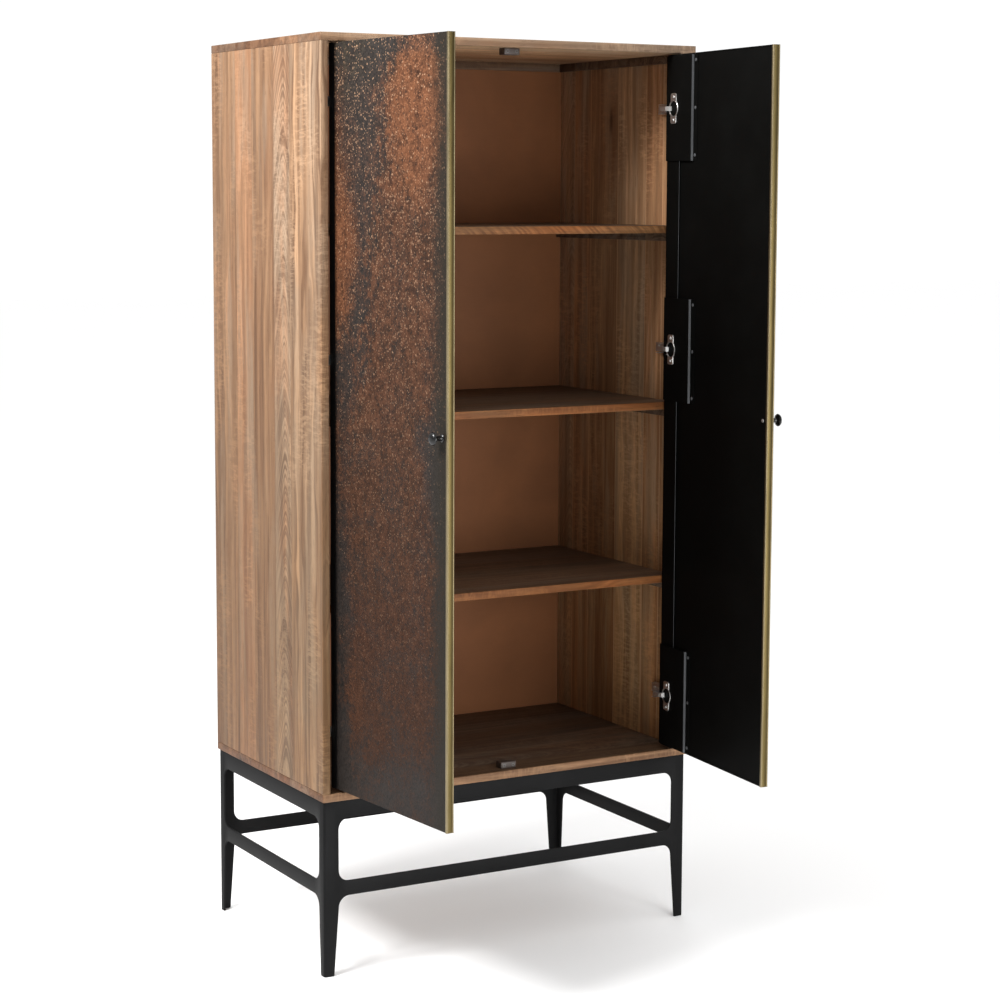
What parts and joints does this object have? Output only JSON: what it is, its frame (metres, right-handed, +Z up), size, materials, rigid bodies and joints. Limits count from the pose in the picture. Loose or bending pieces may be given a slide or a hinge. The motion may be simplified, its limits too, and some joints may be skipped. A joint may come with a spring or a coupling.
{
  "type": "cabinet",
  "caption": "Tall freestanding storage cabinet: solid wood board case with shelves, paired iron-clad doors on cup hinges with brass meeting edges, on a slim black iron stand.",
  "frame": {"origin": "middle of the footprint of the cabinet with its doors open as modelled, on the floor", "axes": "+Z up, -Y out of the front, +X to the right when facing the front"},
  "size_m": [0.914, 0.964, 1.965],
  "materials": {
    "solid_wood": "matte oiled, striped plank grain",
    "stained_wood": "dark stain, matte",
    "back_sheet": "stained reddish brown ply, satin",
    "patinated_iron": "rust and dark blue-black patina, lacquered",
    "black_iron": "satin black",
    "black_knob": "satin black",
    "brass": "aged brushed brass",
    "nickel": "bright nickel plate",
    "catch_plastic": "matte dark brown"
  },
  "bodies": {
    "cabinet": {"top_panel": "solid_wood", "bottom_panel": "solid_wood", "left_side_panel": "solid_wood", "right_side_panel": "solid_wood", "back_panel": "back_sheet", "upper_shelf": "solid_wood", "middle_shelf": "solid_wood", "lower_shelf": "solid_wood", "left_top_cleat": "stained_wood", "right_top_cleat": "stained_wood", "back_top_rail": "stained_wood", "left_shelf_cleats": "stained_wood", "right_shelf_cleats": "stained_wood", "top_catch": "catch_plastic", "bottom_catch": "catch_plastic", "catch_magnets": "nickel", "left_hinge_plates": "nickel", "right_hinge_plates": "nickel", "left_hinge_arms": "nickel", "right_hinge_arms": "nickel", "left_plate_screws": "nickel", "right_plate_screws": "nickel", "front_left_leg": "black_iron", "front_right_leg": "black_iron", "back_left_leg": "black_iron", "back_right_leg": "black_iron", "front_rail": "black_iron", "back_rail": "black_iron", "left_rail": "black_iron", "right_rail": "black_iron", "front_stretcher": "black_iron", "back_stretcher": "black_iron", "left_stretcher": "black_iron", "right_stretcher": "black_iron", "stand_screws": "nickel"},
    "left_door": {"left_door_skin": "patinated_iron", "left_door_stile": "black_iron", "left_door_lining": "black_iron", "left_door_edging": "brass", "left_hinge_carriers": "black_iron", "left_carrier_screws": "black_iron", "left_hinge_cups": "nickel", "left_cup_screws": "nickel", "left_hinge_pins": "nickel", "left_knob": "black_knob", "left_knob_screw": "nickel"},
    "right_door": {"right_door_skin": "patinated_iron", "right_door_stile": "black_iron", "right_door_lining": "black_iron", "right_door_edging": "brass", "right_hinge_carriers": "black_iron", "right_carrier_screws": "black_iron", "right_hinge_cups": "nickel", "right_cup_screws": "nickel", "right_hinge_pins": "nickel", "right_knob": "black_knob", "right_knob_screw": "nickel"}
  },
  "joints": [
    {"name": "left_door_swing", "type": "hinge", "parent": "cabinet", "child": "left_door", "pos_m": [-0.415, -0.06951, 1.17], "axis": [0, 0, 1], "range_deg": [-10, 85]},
    {"name": "right_door_swing", "type": "hinge", "parent": "cabinet", "child": "right_door", "pos_m": [0.415, -0.06951, 1.17], "axis": [0, 0, -1], "range_deg": [-10, 85]}
  ]
}
